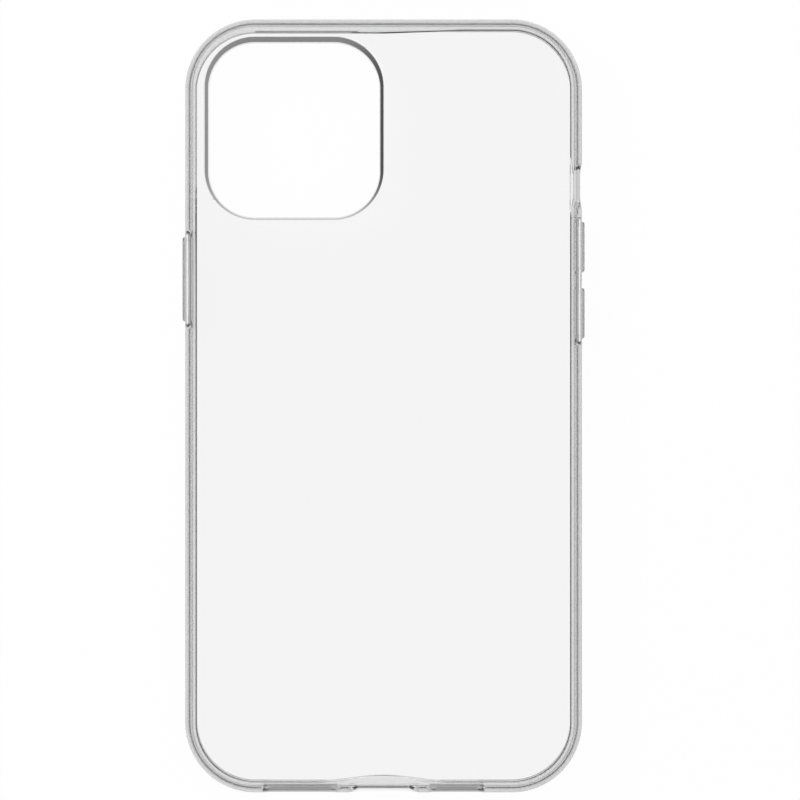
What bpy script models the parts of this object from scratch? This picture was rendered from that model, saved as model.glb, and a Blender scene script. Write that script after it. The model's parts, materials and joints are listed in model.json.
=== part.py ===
"""Clear hybrid phone case: a hard back panel held in a soft bumper, with a camera rim and button covers.

Metres, +Z up. The case lies on its screen lip with its back upwards, its top edge towards +Y and its
volume buttons towards +X. The origin is below the middle of the case, on the surface that it lies on.
"""

import math
from collections import namedtuple

import bmesh
import bpy
from mathutils import Matrix

# Phone that the case is made for
PHONE_WIDTH = 0.0758
PHONE_LENGTH = 0.1506
PHONE_THICKNESS = 0.0083
PHONE_CORNER_RADIUS = 0.0124
PHONE_CLEARANCE = 0.0002

# Soft bumper: wall, screen lip and the rounding of its edges
WALL = 0.0014
LIP_THICKNESS = 0.0010
LIP_OVERHANG = 0.00095
LIP_FLAT = 0.0006
LIP_EDGE_ROUND = 0.0004
BACK_ROUND = 0.0020
RIM_FLAT = 0.0001
POCKET_ROUND = 0.0006
LEDGE_FLAT = 0.0002

# Fullness of the wall's curves: 2 is an ellipse, and more is squarer
OUTER_FULLNESS = 2.3
POCKET_FULLNESS = 2.7
EDGE_FULLNESS = 2.0

# Tongue and groove between the bumper and the back panel
RIM_THICKNESS = 0.0005
TONGUE_THICKNESS = 0.0004
LEDGE_THICKNESS = 0.0004
GROOVE_COVER = 0.00058
SEAM_SLOPE = 0.00027
BOND_GAP = 0.0001

# Apron of the bumper that reaches into the back panel above the charging port
APRON_WIDTH = 0.028
APRON_RISE = 0.0012

# Camera window in the back panel, its sloping seat, and the rim that lines it
WINDOW_WIDTH = 0.03595
WINDOW_LENGTH = 0.03676
WINDOW_RADIUS = 0.0102
PANEL_STRIP_TOP = 0.00097
PANEL_STRIP_SIDE = 0.00133
SEAT_WIDTH = 0.00078
SEAT_LEAN = 0.00035
SEAT_SLOPE = 0.95
CAMERA_RIM_WALL = 0.0002
CAMERA_RIM_PROUD = 0.0006
CAMERA_RIM_ROUND = 0.0001

# Openings in the bottom wall
PORT_WIDTH = 0.0132
PORT_HEIGHT = 0.0066
PORT_RADIUS = 0.0024
SPEAKER_LEFT_WIDTH = 0.01455
SPEAKER_RIGHT_WIDTH = 0.01055
SPEAKER_HEIGHT = 0.0048
SPEAKER_RADIUS = 0.0016
BOTTOM_PILLAR = 0.00265
OPENING_FLARE = 0.0005

# Mute switch opening and button covers in the side walls
MUTE_FROM_TOP = 0.0332
MUTE_LENGTH = 0.0075
MUTE_HEIGHT = 0.0050
MUTE_RADIUS = 0.0018
SIDE_POST = 0.0026
POWER_FROM_TOP = 0.0517
POWER_PAD_LENGTH = 0.0168
VOLUME_PAD_LENGTH = 0.0101
VOLUME_PAD_GAP = 0.0031
PAD_HEIGHT = 0.0034
PAD_RADIUS = 0.0010
PAD_PROUD = 0.00055
PAD_EDGE_ROUND = 0.0003
PAD_TRAVEL = 0.0004
TRAVEL_CLEARANCE = 0.0002
STEM_STEP = 0.0007
STEM_RADIUS = 0.0005
STEM_CLEARANCE = 0.0002
COVER_MARGIN = 0.0007
COVER_RADIUS = 0.0014
WEB_THICKNESS = 0.00045
WEB_RECESS = 0.0001
WEB_SEAT = 0.0006

# How far a cutter runs past the wall that it cuts
CUT_PAST = 0.0010

# Fineness of the rounded shapes, the edge angle that stays sharp, and the distance that welds two points
CORNER_STEPS = 10
SMALL_CORNER_STEPS = 4
ROUND_STEPS = 5
EDGE_STEPS = 3
APRON_STEPS = 12
SHARP_ANGLE = math.radians(35)
WELD_DISTANCE = 0.000001

# Sizes that follow from the driving dimensions
CASE_WIDTH = PHONE_WIDTH + 2 * (PHONE_CLEARANCE + WALL)
CASE_LENGTH = PHONE_LENGTH + 2 * (PHONE_CLEARANCE + WALL)
CASE_RADIUS = PHONE_CORNER_RADIUS + PHONE_CLEARANCE + WALL
PANEL_THICKNESS = LEDGE_THICKNESS + TONGUE_THICKNESS + RIM_THICKNESS + 2 * BOND_GAP
FLOOR = LIP_THICKNESS + PHONE_THICKNESS
BACK = FLOOR + PANEL_THICKNESS
CASE_MIDDLE = BACK / 2
POCKET_MIDDLE = LIP_THICKNESS + PHONE_THICKNESS / 2
GROOVE_LOW = FLOOR + LEDGE_THICKNESS
GROOVE_HIGH = BACK - RIM_THICKNESS
LIP_INSET = WALL + LIP_OVERHANG
LIP_ROUND = LIP_INSET - LIP_EDGE_ROUND - LIP_FLAT
SEAM_INSET = max(BACK_ROUND + RIM_FLAT + SEAM_SLOPE, WALL + POCKET_ROUND + LEDGE_FLAT)
GROOVE_RISE = (GROOVE_HIGH - CASE_MIDDLE) / (BACK - CASE_MIDDLE)
GROOVE_SHOULDER = BACK_ROUND * (1 - (1 - GROOVE_RISE**OUTER_FULLNESS) ** (1 / OUTER_FULLNESS))
GROOVE_INSET = GROOVE_COVER + GROOVE_SHOULDER
SEAT_GAP = BOND_GAP * math.hypot(1.0, SEAT_SLOPE) / SEAT_SLOPE
WINDOW_X = -CASE_WIDTH / 2 + SEAM_INSET + BOND_GAP + PANEL_STRIP_SIDE + WINDOW_WIDTH / 2
WINDOW_Y = CASE_LENGTH / 2 - SEAM_INSET - BOND_GAP - PANEL_STRIP_TOP - WINDOW_LENGTH / 2
MUTE_Y = CASE_LENGTH / 2 - MUTE_FROM_TOP
POWER_Y = CASE_LENGTH / 2 - POWER_FROM_TOP
VOLUME_UP_Y = MUTE_Y - MUTE_LENGTH / 2 - SIDE_POST - COVER_MARGIN - VOLUME_PAD_LENGTH / 2
VOLUME_DOWN_Y = VOLUME_UP_Y - VOLUME_PAD_LENGTH - VOLUME_PAD_GAP
WEB_INNER = WALL - WEB_RECESS
WEB_OUTER = WEB_INNER - WEB_THICKNESS
PAD_UNDERSIDE = WEB_OUTER - PAD_TRAVEL - TRAVEL_CLEARANCE
CUT_INSET = SEAM_INSET + CUT_PAST

# The walls: where each faces, as a turn of +X, and how far its outer face is from the middle
LEFT = (math.pi, CASE_WIDTH / 2)
RIGHT = (0.0, CASE_WIDTH / 2)
BOTTOM = (-math.pi / 2, CASE_LENGTH / 2)

# The button covers: the wall that each is in, and the length and the places along Y of its pads
Cover = namedtuple("Cover", "name wall pad_length pads")
COVERS = (
    Cover("power_button", LEFT, POWER_PAD_LENGTH, {"power_button_pad": POWER_Y}),
    Cover(
        "volume_button",
        RIGHT,
        VOLUME_PAD_LENGTH,
        {"volume_up_pad": VOLUME_UP_Y, "volume_down_pad": VOLUME_DOWN_Y},
    ),
)

# A plate drawn in X and Y, turned so that it stands in Y and Z with its thickness along X
STAND_UP = Matrix(((0, 0, 1, 0), (1, 0, 0, 0), (0, 1, 0, 0), (0, 0, 0, 1)))


def clear_scene():
    for obj in list(bpy.data.objects):
        bpy.data.objects.remove(obj)


def new_collection(name):
    collection = bpy.data.collections.new(name)
    bpy.context.scene.collection.children.link(collection)
    return collection


def clear_plastic(name, colour, roughness):
    """See-through plastic of one tint."""
    material = bpy.data.materials.new(name)
    material.use_nodes = True
    shader = material.node_tree.nodes["Principled BSDF"]
    shader.inputs["Base Color"].default_value = (*colour, 1.0)
    shader.inputs["Roughness"].default_value = roughness
    shader.inputs["Metallic"].default_value = 0.0
    shader.inputs["Transmission Weight"].default_value = 1.0
    shader.inputs["IOR"].default_value = 1.5
    return material


def rounded_stations(width, length, radius, steps):
    """Points round a rounded rectangle, anticlockwise from its lower right corner, with outward normals."""
    across = width / 2 - radius
    along = length / 2 - radius
    centres = ((across, -along), (across, along), (-across, along), (-across, -along))
    stations = []
    for quarter, (x, y) in enumerate(centres):
        for step in range(steps + 1):
            angle = (quarter - 1 + step / steps) * math.pi / 2
            normal = (math.cos(angle), math.sin(angle))
            stations.append(((x + radius * normal[0], y + radius * normal[1]), normal))
    return stations


def case_stations():
    """The outer wall's rounded rectangle, with more points along the apron above the port."""
    stations = rounded_stations(CASE_WIDTH, CASE_LENGTH, CASE_RADIUS, CORNER_STEPS)
    for step in range(APRON_STEPS + 1):
        x = APRON_WIDTH * (step / APRON_STEPS - 0.5)
        stations.append(((x, -CASE_LENGTH / 2), (0.0, -1.0)))
    return stations


def window_stations():
    """The rounded edge of the camera window in the back face."""
    stations = []
    for (x, y), normal in rounded_stations(WINDOW_WIDTH, WINDOW_LENGTH, WINDOW_RADIUS, CORNER_STEPS):
        stations.append(((x + WINDOW_X, y + WINDOW_Y), normal))
    return stations


def seam_at(station):
    """Inset of the panel's seam from a point of the outer wall; the apron pushes it inwards."""
    x, y = station[0]
    if y > 0 or abs(x) > APRON_WIDTH / 2:
        return SEAM_INSET
    return SEAM_INSET + APRON_RISE * (1 + math.cos(2 * math.pi * x / APRON_WIDTH)) / 2


def moved_in(station, inset):
    (x, y), normal = station
    return (x - inset * normal[0], y - inset * normal[1])


def quarter_round(start, end, steps, fullness, flat_first):
    """Points after start up to end, leaving along the inset where flat_first and along the height if not."""
    points = []
    for step in range(1, steps + 1):
        angle = step / steps * math.pi / 2
        early = math.sin(angle) ** (2 / fullness)
        late = 1 - math.cos(angle) ** (2 / fullness)
        share_inset, share_height = (early, late) if flat_first else (late, early)
        inset = start[0] + (end[0] - start[0]) * share_inset
        points.append((inset, start[1] + (end[1] - start[1]) * share_height))
    return points


def bumper_section(station):
    """Inset from the outer wall and height of each corner of the bumper, round its section from the lip."""
    seam = seam_at(station)
    widest = (0.0, CASE_MIDDLE)
    pocket_wall = (WALL, POCKET_MIDDLE)
    lip_edge = (LIP_INSET, LIP_EDGE_ROUND)
    lip_flat = (LIP_INSET - LIP_EDGE_ROUND, 0.0)
    points = [(LIP_ROUND, 0.0)]
    points += quarter_round(points[-1], widest, ROUND_STEPS, OUTER_FULLNESS, True)
    points += quarter_round(widest, (BACK_ROUND, BACK), ROUND_STEPS, OUTER_FULLNESS, False)
    points += [(seam - SEAM_SLOPE, BACK), (seam, GROOVE_HIGH), (GROOVE_INSET, GROOVE_HIGH)]
    points += [(GROOVE_INSET, GROOVE_LOW), (seam, GROOVE_LOW), (seam, FLOOR)]
    points += [(WALL + POCKET_ROUND, FLOOR)]
    points += quarter_round(points[-1], pocket_wall, ROUND_STEPS, POCKET_FULLNESS, True)
    points += quarter_round(pocket_wall, (LIP_INSET, LIP_THICKNESS), ROUND_STEPS, POCKET_FULLNESS, False)
    points += [lip_edge]
    points += quarter_round(lip_edge, lip_flat, EDGE_STEPS, EDGE_FULLNESS, False)
    return points


def panel_edge_section(station):
    """Inset from the outer wall and height of each corner of the back panel's edge, from the back down."""
    body = seam_at(station) + BOND_GAP
    tongue = GROOVE_INSET + BOND_GAP
    high = GROOVE_HIGH - BOND_GAP
    low = GROOVE_LOW + BOND_GAP
    points = [(body - SEAM_SLOPE, BACK), (body, high), (tongue, high)]
    points += [(tongue, low), (body, low), (body, FLOOR)]
    return points


def seat_at(station):
    """Width of the camera window's seat: wider along the top of the window, narrower along the bottom."""
    return SEAT_WIDTH + SEAT_LEAN * station[1][1]


def window_edge_section(station):
    """Inset into the camera window and height of each corner of its edge in the panel, from the back down."""
    seat = seat_at(station)
    return [(0.0, BACK), (seat, BACK - seat * SEAT_SLOPE), (seat, FLOOR)]


def camera_rim_section(station):
    """Inset into the camera window and height of each corner of the camera rim, from its foot."""
    seat = seat_at(station) + BOND_GAP
    seat_foot = BACK - (seat - SEAT_GAP) * SEAT_SLOPE
    inner = seat + CAMERA_RIM_WALL
    top = BACK + CAMERA_RIM_PROUD
    shoulder = (SEAT_GAP + CAMERA_RIM_ROUND, top)
    brow = (inner, top - CAMERA_RIM_ROUND)
    points = [(seat, FLOOR), (seat, seat_foot), (SEAT_GAP, BACK)]
    points += [(SEAT_GAP, top - CAMERA_RIM_ROUND)]
    points += quarter_round(points[-1], shoulder, EDGE_STEPS, EDGE_FULLNESS, False)
    points += [(inner - CAMERA_RIM_ROUND, top)]
    points += quarter_round(points[-1], brow, EDGE_STEPS, EDGE_FULLNESS, True)
    points += [(inner, FLOOR)]
    return points


def finished(name, bm, collection):
    """An object of a closed mesh, with its faces turned outwards and its round faces smooth."""
    bmesh.ops.recalc_face_normals(bm, faces=bm.faces)
    mesh = bpy.data.meshes.new(name)
    bm.to_mesh(mesh)
    bm.free()
    mesh.shade_smooth()
    mesh.set_sharp_from_angle(angle=SHARP_ANGLE)
    obj = bpy.data.objects.new(name, mesh)
    collection.objects.link(obj)
    return obj


def loft(bm, stations, section_at, closed):
    """Carry a section round the stations, and give its corners at each of them."""
    rings = []
    for station in stations:
        placed = [(*moved_in(station, inset), height) for inset, height in section_at(station)]
        rings.append([bm.verts.new(point) for point in placed])
    first = 0 if closed else 1
    for ring, following in zip(rings, rings[1:] + rings[:1]):
        for corner in range(first, len(ring)):
            before = corner - 1
            bm.faces.new((ring[before], ring[corner], following[corner], following[before]))
    return rings


def loop_edges(bm, rings, corner):
    """The edges that join one corner of the section all round the stations."""
    loop = [ring[corner] for ring in rings]
    return [bm.edges.get(pair) for pair in zip(loop, loop[1:] + loop[:1])]


def plate_mesh(outline, low, high):
    """A closed plate between two heights."""
    curve = bpy.data.curves.new("outline", "CURVE")
    curve.dimensions = "2D"
    curve.fill_mode = "BOTH"
    curve.extrude = (high - low) / 2
    spline = curve.splines.new("POLY")
    spline.points.add(len(outline) - 1)
    spline.use_cyclic_u = True
    for corner, (x, y) in zip(spline.points, outline):
        corner.co = (x, y, 0.0, 1.0)
    guide = bpy.data.objects.new("outline", curve)
    bpy.context.scene.collection.objects.link(guide)
    seen = guide.evaluated_get(bpy.context.evaluated_depsgraph_get())
    mesh = bpy.data.meshes.new_from_object(seen)
    mesh.transform(Matrix.Translation((0.0, 0.0, (low + high) / 2)))
    bpy.data.objects.remove(guide)
    bpy.data.curves.remove(curve)
    return mesh


def welded(mesh):
    """The plate's caps and sides made one surface, ready to edit."""
    bm = bmesh.new()
    bm.from_mesh(mesh)
    bpy.data.meshes.remove(mesh)
    bmesh.ops.remove_doubles(bm, verts=bm.verts, dist=WELD_DISTANCE)
    return bm


def wall_block(length, height, radius, outer, inner):
    """A rounded block in a wall's own frame: +X out of the wall, Y along it, between two insets."""
    corners = rounded_stations(length, height, radius, SMALL_CORNER_STEPS)
    mesh = plate_mesh([point for point, normal in corners], -inner, -outer)
    mesh.transform(STAND_UP)
    return welded(mesh)


def place_on_wall(obj, wall, along):
    """Set an object in a wall, at a place along X or Y, level with the middle of the phone's side."""
    turn, reach = wall
    obj.rotation_euler.z = turn
    if wall is BOTTOM:
        obj.location = (along, -reach, POCKET_MIDDLE)
    else:
        obj.location = (reach * math.cos(turn), along, POCKET_MIDDLE)


def as_tool(obj):
    """A cutter, or a shape that is joined to another, is hidden."""
    obj.display_type = "WIRE"
    obj.hide_render = True


def combine(obj, tool, operation):
    as_tool(tool)
    modifier = obj.modifiers.new(tool.name, "BOOLEAN")
    modifier.operation = operation
    modifier.object = tool


def cut_wall(obj, name, wall, along, size, radius, outer, flare, tools):
    """Cut a rounded opening from an inset of the wall to the pocket, wider at its outer end by the flare."""
    length, height = size
    bm = wall_block(length, height, radius, outer, CUT_INSET)
    for vert in bm.verts:
        if vert.co.x > -CUT_INSET / 2:
            vert.co.y *= 1 + 2 * flare / length
            vert.co.z *= 1 + 2 * flare / height
    cutter = finished(name, bm, tools)
    place_on_wall(cutter, wall, along)
    combine(obj, cutter, "DIFFERENCE")


def make_bumper(parts, tools):
    bm = bmesh.new()
    loft(bm, case_stations(), bumper_section, closed=True)
    bumper = finished("bumper_frame", bm, parts)
    port = (PORT_WIDTH, PORT_HEIGHT)
    cut_wall(bumper, "port_cut", BOTTOM, 0.0, port, PORT_RADIUS, -CUT_PAST, OPENING_FLARE, tools)
    speakers = (("left", -1, SPEAKER_LEFT_WIDTH), ("right", 1, SPEAKER_RIGHT_WIDTH))
    for side, sign, width in speakers:
        name = f"speaker_{side}_cut"
        along = sign * (PORT_WIDTH / 2 + BOTTOM_PILLAR + width / 2)
        size = (width, SPEAKER_HEIGHT)
        cut_wall(bumper, name, BOTTOM, along, size, SPEAKER_RADIUS, -CUT_PAST, OPENING_FLARE, tools)
    mute = (MUTE_LENGTH, MUTE_HEIGHT)
    cut_wall(bumper, "mute_cut", RIGHT, MUTE_Y, mute, MUTE_RADIUS, -CUT_PAST, OPENING_FLARE, tools)
    for cover in COVERS:
        opening = (cover.pad_length + 2 * COVER_MARGIN, PAD_HEIGHT + 2 * COVER_MARGIN)
        for pad, along in cover.pads.items():
            name = f"{pad}_cut"
            cut_wall(bumper, name, cover.wall, along, opening, COVER_RADIUS, -CUT_PAST, 0.0, tools)
        seat = cover_size(cover, COVER_MARGIN + WEB_SEAT)
        name = f"{cover.name}_seat"
        step = WEB_OUTER - BOND_GAP
        cut_wall(bumper, name, cover.wall, cover_middle(cover), seat, COVER_RADIUS, step, 0.0, tools)
    return bumper


def make_back_panel(parts):
    """A flat panel, filled between its tongued edge and the sloping edge of the camera window."""
    bm = bmesh.new()
    edge = loft(bm, case_stations(), panel_edge_section, closed=False)
    window = loft(bm, window_stations(), window_edge_section, closed=False)
    for face in (0, -1):
        border = loop_edges(bm, edge, face) + loop_edges(bm, window, face)
        bmesh.ops.triangle_fill(bm, edges=border, use_beauty=True)
    return finished("back_panel", bm, parts)


def make_camera_rim(parts):
    bm = bmesh.new()
    loft(bm, window_stations(), camera_rim_section, closed=True)
    return finished("camera_rim", bm, parts)


def cover_middle(cover):
    return (min(cover.pads.values()) + max(cover.pads.values())) / 2


def cover_size(cover, margin):
    """Length and height that take in a cover's pads and a margin round them."""
    span = max(cover.pads.values()) - min(cover.pads.values())
    return (span + cover.pad_length + 2 * margin, PAD_HEIGHT + 2 * margin)


def make_web(cover, parts, tools):
    """The thin strip behind a button cover, with a hole for the stem of each pad."""
    length, height = cover_size(cover, COVER_MARGIN + WEB_SEAT - BOND_GAP)
    block = wall_block(length, height, COVER_RADIUS, WEB_OUTER, WEB_INNER)
    web = finished(f"{cover.name}_web", block, parts)
    place_on_wall(web, cover.wall, cover_middle(cover))
    hole_length = cover.pad_length - 2 * (STEM_STEP - STEM_CLEARANCE)
    hole_height = PAD_HEIGHT - 2 * (STEM_STEP - STEM_CLEARANCE)
    hole_radius = STEM_RADIUS + STEM_CLEARANCE
    for pad, along in cover.pads.items():
        outer = WEB_OUTER - CUT_PAST
        inner = WEB_INNER + CUT_PAST
        hole = wall_block(hole_length, hole_height, hole_radius, outer, inner)
        cutter = finished(f"{pad}_hole", hole, tools)
        place_on_wall(cutter, cover.wall, along)
        combine(web, cutter, "DIFFERENCE")
    return web


def round_outer_edges(block):
    """Round the edges between a pad's outer face and its sides."""
    outer_edges = []
    for edge in block.edges:
        on_face = all(abs(vert.co.x - PAD_PROUD) < WELD_DISTANCE for vert in edge.verts)
        if on_face and edge.calc_face_angle() > SHARP_ANGLE:
            outer_edges.append(edge)
    bmesh.ops.bevel(
        block,
        geom=outer_edges,
        offset=PAD_EDGE_ROUND,
        segments=EDGE_STEPS,
        profile=0.5,
        affect="EDGES",
    )


def make_pad(name, cover, parts, tools):
    """A button pad with rounded outer edges, on a stem that goes through its web."""
    block = wall_block(cover.pad_length, PAD_HEIGHT, PAD_RADIUS, -PAD_PROUD, PAD_UNDERSIDE)
    round_outer_edges(block)
    pad = finished(name, block, parts)
    stem_length = cover.pad_length - 2 * STEM_STEP
    stem_height = PAD_HEIGHT - 2 * STEM_STEP
    stem_root = (PAD_UNDERSIDE - PAD_PROUD) / 2
    stem_block = wall_block(stem_length, stem_height, STEM_RADIUS, stem_root, WEB_INNER)
    stem = finished(f"{name}_stem", stem_block, tools)
    for piece in (pad, stem):
        place_on_wall(piece, cover.wall, cover.pads[name])
    combine(pad, stem, "UNION")
    return pad


def main():
    clear_scene()
    parts = new_collection("phone_case")
    tools = new_collection("cutters")
    hard = clear_plastic("clear_hard_panel", (0.93, 0.93, 0.94), 0.05)
    soft = clear_plastic("clear_soft_bumper", (0.88, 0.88, 0.89), 0.10)
    rim = clear_plastic("clear_camera_rim", (0.85, 0.85, 0.86), 0.08)
    web = clear_plastic("clear_button_web", (0.86, 0.86, 0.87), 0.14)
    pad = clear_plastic("clear_button_pad", (0.84, 0.84, 0.85), 0.12)
    made = [
        (make_bumper(parts, tools), soft),
        (make_back_panel(parts), hard),
        (make_camera_rim(parts), rim),
    ]
    for cover in COVERS:
        made.append((make_web(cover, parts, tools), web))
        for name in cover.pads:
            made.append((make_pad(name, cover, parts, tools), pad))
    case = bpy.data.objects.new("case_origin", None)
    parts.objects.link(case)
    for obj, material in made:
        obj.data.materials.append(material)
        obj.parent = case


main()
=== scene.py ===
"""Looks of a clear phone case: a hard back panel in a soft bumper, with a camera rim and button covers.

Metres, +Z out of the back panel and +Y towards the top edge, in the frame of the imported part.
"""

import json
import math

import bmesh
import bpy
from bpy.props import FloatProperty, FloatVectorProperty, PointerProperty
from bpy.types import Operator, Panel, PropertyGroup
from mathutils import Matrix, Vector


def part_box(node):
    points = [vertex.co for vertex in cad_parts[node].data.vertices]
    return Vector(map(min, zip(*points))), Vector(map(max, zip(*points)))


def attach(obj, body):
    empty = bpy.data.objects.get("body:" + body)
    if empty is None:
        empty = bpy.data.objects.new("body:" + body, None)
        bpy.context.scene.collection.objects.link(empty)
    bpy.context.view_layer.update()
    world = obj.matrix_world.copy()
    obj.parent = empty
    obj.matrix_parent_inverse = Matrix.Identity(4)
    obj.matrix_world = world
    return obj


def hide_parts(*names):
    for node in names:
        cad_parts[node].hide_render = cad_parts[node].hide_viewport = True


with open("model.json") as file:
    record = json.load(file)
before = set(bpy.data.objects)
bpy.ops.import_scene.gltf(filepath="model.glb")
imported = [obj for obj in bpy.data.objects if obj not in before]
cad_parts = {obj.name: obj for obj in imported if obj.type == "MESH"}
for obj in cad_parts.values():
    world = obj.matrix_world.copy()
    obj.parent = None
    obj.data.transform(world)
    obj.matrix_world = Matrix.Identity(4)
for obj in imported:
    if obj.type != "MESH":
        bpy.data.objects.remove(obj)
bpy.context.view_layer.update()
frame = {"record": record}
BUMPER_LOW, BUMPER_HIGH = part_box("bumper_frame")
RIM_LOW, RIM_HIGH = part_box("camera_rim")
PAD_LOW, PAD_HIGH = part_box("volume_up_pad")

bl_info = {
    "name": "Clear phone case",
    "version": (1, 0, 0),
    "blender": (4, 5, 0),
    "location": "3D View > Sidebar > Phone case",
    "description": "Makes the clear pieces of a phone case on its packed frame, and the stage round them",
    "category": "Object",
}

# Fineness of the rounded shapes, and the edge angle that stays sharp
CORNER_STEPS = 36
SMALL_CORNER_STEPS = 12
ROUND_STEPS = 20
EDGE_STEPS = 8
EASE_STEPS = 3
STATION_PITCH = 0.0015
OPENING_PITCH = 0.0005
SHARP_ANGLE = math.radians(17)

# Fullness of a plain round
ELLIPSE = 2.0

# A point this far along a flat from its round keeps the shading of the flat even
FLAT_HOLD = 0.00003

# A round on an opening's edge stops short of the wall's surface and goes on straight through it
ROUND_END = math.radians(70)
ROUND_OVERSHOOT = 0.00005
CUT_OUTSIDE = 0.0015
CUT_INSIDE = 0.0035

# Where the painted shade over an opening starts and deepens, as shares of the wall's draw-in from outside
PAINTED_SHADE_DEPTHS = (0.9, 0.65)

# Width of the painted dark line along the seam over the camera window
SEAM_SHADE_LINE = 0.0004

# The painted shade lies over the openings above this height, and the skin's painted shade is full from there
PAINTED_SHADE_HEIGHT = 0.0075

# How much steeper the seam stands at the bottom edge and beside the mute opening
BOTTOM_STEEP = 0.04
SCOOP_STEEP = 0.7

# How much more the seam leans round the camera window, and the stretch over which that fades
WINDOW_LEAN = 0.2
WINDOW_FADE = 0.016

# The finish of each slot: its plastic, the scale of its ripples, the share of its grain and its relief
FINISHES = {
    "clear_soft_bumper": ("bumper", 60.0, 0.10, 0.0000010),
    "clear_hard_panel": ("panel", 30.0, 0.05, 0.0000010),
    "clear_camera_rim": ("rim", 90.0, 0.10, 0.0000005),
    "clear_button_web": ("web", 150.0, 0.30, 0.0000010),
    "clear_button_pad": ("pad", 150.0, 0.30, 0.0000010),
}

# Plain white and black, the black being what shade is painted towards in the bumper's colour; what a shadow
# lets through, and the grey by which a plastic's body takes up light
WHITE = (1.0, 1.0, 1.0)
BLACK = (0.0, 0.0, 0.0)
SHADOW_GREY = (0.9, 0.9, 0.9)
BODY_GREY = (0.5, 0.5, 0.5)

# Inputs of a moulded surface, and the fineness and the middle of its noise
MOULDED_INPUTS = {
    "Polish": 0.03,
    "Patchiness": 0.5,
    "Ripple Scale": 90.0,
    "Grain Scale": 1500.0,
    "Grain Share": 0.2,
}
NOISE_DETAIL = 3.0
NOISE_MIDDLE = 0.5

# The stage: floor, heights between which the sides give way to the zenith, lamp and camera
FLOOR_REACH = 3.0
FLOOR_ROUGHNESS = 0.9
SIDES_END = 0.1
ZENITH_START = 0.6
LAMP_SIZE = 1.2
LAMP_PLACE = (-1.0, 0.8, 1.3)
LIGHT_BOUNCES = 32
SENSOR_WIDTH = 36.0
CLIP_START = 0.01

# The photograph's side in pixels, and its pixels to a metre of the case
PHOTO_SIDE = 800
PIXELS_PER_METRE = 5025

# The walls that carry openings: the directions along, up and out of each
LEFT = ((0, -1, 0), (0, 0, 1), (-1, 0, 0))
RIGHT = ((0, 1, 0), (0, 0, 1), (1, 0, 0))
BOTTOM = ((1, 0, 0), (0, 0, 1), (0, -1, 0))

# The button webs: the wall of each and the pads that go through it
WEBS = {
    "power_button_web": (LEFT, ("power_button_pad",)),
    "volume_button_web": (RIGHT, ("volume_up_pad", "volume_down_pad")),
}


def size(name, description, default):
    """A length that a user can change."""
    return FloatProperty(
        name=name, description=description, default=default, unit="LENGTH", precision=5
    )


def number(name, description, default, low=0.0, high=100.0):
    """A plain number that a user can change."""
    return FloatProperty(name=name, description=description, default=default, min=low, max=high)


def colour(name, description, default):
    """A colour that a user can change."""
    return FloatVectorProperty(
        name=name, description=description, default=default, min=0.0, max=1.0, subtype="COLOR"
    )


class BumperSizes(PropertyGroup):
    """Sizes of the soft bumper's wall, lip and rounded edges."""

    width: size("Width", "Case from side to side, without the pads", BUMPER_HIGH.x - BUMPER_LOW.x)
    length: size("Length", "Case from top edge to bottom edge", BUMPER_HIGH.y - BUMPER_LOW.y)
    height: size("Height", "From the screen lip to the back", BUMPER_HIGH.z)
    corner: size("Corner radius", "Outer radius of the case's corners", 0.014)
    wall: size("Wall", "Thickness of the wall at its middle", 0.0014)
    lip_thickness: size("Lip thickness", "Thickness of the screen lip", 0.0010)
    lip_overhang: size("Lip overhang", "How far the lip reaches over the phone", 0.00095)
    lip_flat: size("Lip flat", "Width of the flat that the case lies on", 0.0006)
    lip_edge: size("Lip edge", "Round of the lip's inner edge", 0.0004)
    back_round: size("Back round", "How far the wall draws in towards the back", 0.0020)
    rim_flat: size("Rim flat", "Flat of the bumper beside the panel", 0.0001)
    pocket_round: size("Pocket round", "Round between the wall and the ledge under the panel", 0.0006)
    ledge_flat: size("Ledge flat", "Flat of the ledge under the panel", 0.0002)
    outer_fullness: number("Outer fullness", "Squareness of the outer curve; 2 is an ellipse", 2.3, 1.5, 6)
    pocket_fullness: number("Pocket fullness", "Squareness of the pocket's curve", 2.7, 1.5, 6)
    ease: size("Eased edges", "Round of the small moulded edges", 0.00004)


class SeamSizes(PropertyGroup):
    """Sizes of the tongue and groove between bumper and panel, and of the seam's run round the back."""

    rim: size("Rim thickness", "Bumper over the tongue", 0.0005)
    tongue: size("Tongue thickness", "Tongue of the panel", 0.0004)
    ledge: size("Ledge thickness", "Bumper under the tongue", 0.0004)
    cover: size("Groove cover", "Wall left outside the groove", 0.00058)
    slope: size("Seam slope", "How far the seam leans over its depth", 0.00023)
    gap: size("Bond gap", "Gap between bonded pieces", 0.0001)
    apron_width: size("Apron width", "Length of the bumper's bulge over the port", 0.028)
    apron_rise: size("Apron rise", "How far the bulge reaches into the panel", 0.0012)
    scoop_length: size("Scoop length", "Stretch beside the mute opening where the seam runs out", 0.0100)
    scoop_reach: size("Scoop reach", "How far the seam runs out there", 0.00045)
    window_reach: size("Window reach", "How far the seam runs in over the camera window", 0.00055)


class WindowSizes(PropertyGroup):
    """Sizes of the camera window's seat and of the rim in it."""

    radius: size("Window radius", "Corner radius of the window in the back face", 0.0102)
    seat_width: size("Seat width", "Width of the window's sloping seat at its sides", 0.00078)
    seat_lean: size("Seat lean", "How much wider the seat is at the top, and narrower at the bottom", 0.00035)
    seat_slope: number("Seat slope", "Depth of the seat for its width", 0.95, 0.2, 5.0)
    rim_wall: size("Rim wall", "Wall of the rim inside its seat", 0.0002)
    rim_round: size("Rim round", "Round of the rim's top edges", 0.0001)


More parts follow.
